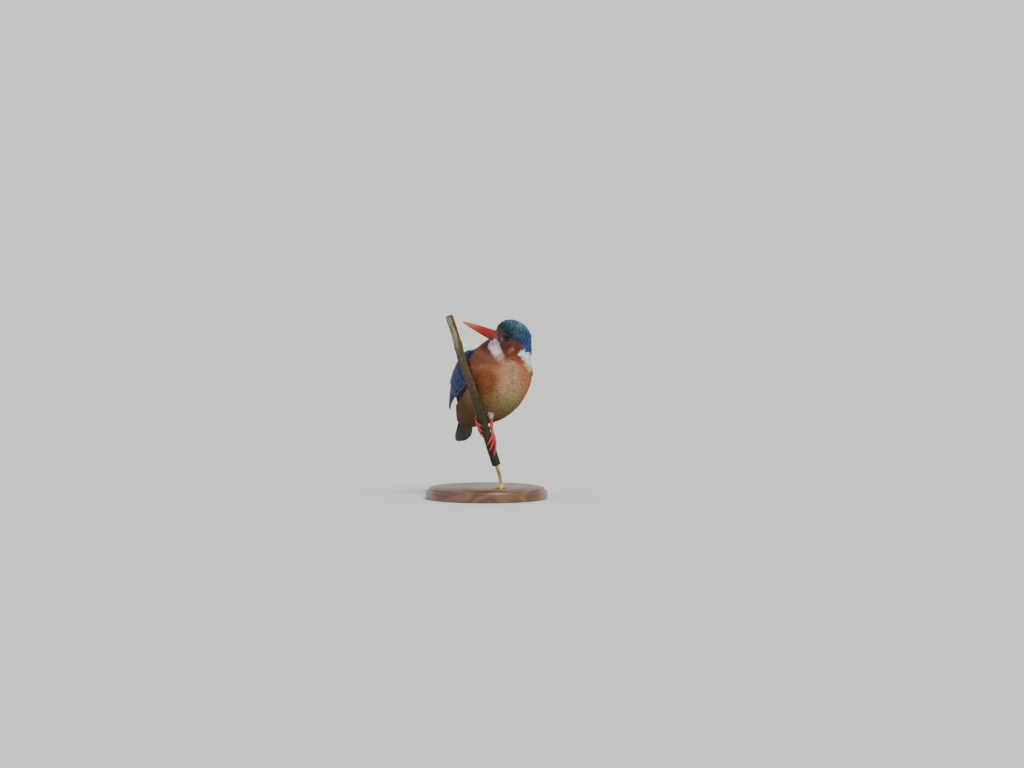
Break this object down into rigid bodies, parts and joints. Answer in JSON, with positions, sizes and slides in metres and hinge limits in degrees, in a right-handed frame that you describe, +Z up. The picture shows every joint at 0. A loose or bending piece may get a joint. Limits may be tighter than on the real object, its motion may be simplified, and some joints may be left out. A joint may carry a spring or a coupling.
{
  "type": "malachite kingfisher model",
  "caption": "Life-size still model of a plump small kingfisher with a long dagger bill, gripping a leaning cut stem on a round display stand.",
  "frame": {"origin": "centre of the round base's underside, on the surface that the stand rests on", "axes": "+Z up; the breast faces -Y and +X, and the head is turned over the bird's right shoulder so that the bill points to -X"},
  "size_m": [0.084, 0.084, 0.129],
  "materials": {
    "rufous_plumage": "soft rufous-orange body feathers, creamier down the belly",
    "blue_plumage": "ultramarine feathers with a faint silky sheen, barred green-blue on the crown",
    "tail_plumage": "dark blue feathers above, blackish below",
    "bill_horn": "smooth horn, bright coral red with a soft gloss",
    "red_skin": "finely scaled coral-red skin",
    "claw_horn": "dark brown horn with a dull gloss",
    "eye_dark": "glossy blackish brown",
    "bark": "dark weathered bark with paler peeling strips",
    "base_wood": "dark turned wood with a satin finish",
    "rod_brass": "satin brass"
  },
  "bodies": {
    "root": {"bill_lower": "bill_horn", "bill_upper": "bill_horn", "claw_left_hind": "claw_horn", "claw_left_inner": "claw_horn", "claw_left_middle": "claw_horn", "claw_left_outer": "claw_horn", "claw_right_hind": "claw_horn", "claw_right_inner": "claw_horn", "claw_right_middle": "claw_horn", "claw_right_outer": "claw_horn", "eye_left": "eye_dark", "eye_right": "eye_dark", "foot_left": "red_skin", "foot_right": "red_skin", "head": "blue_plumage", "leg_left": "red_skin", "leg_right": "red_skin", "neck": "rufous_plumage", "perch_stem": "bark", "stand_base": "base_wood", "stand_collar": "rod_brass", "stand_rod": "rod_brass", "tail": "tail_plumage", "trunk": "rufous_plumage", "wing_left": "blue_plumage", "wing_right": "blue_plumage"}
  },
  "joints": []
}
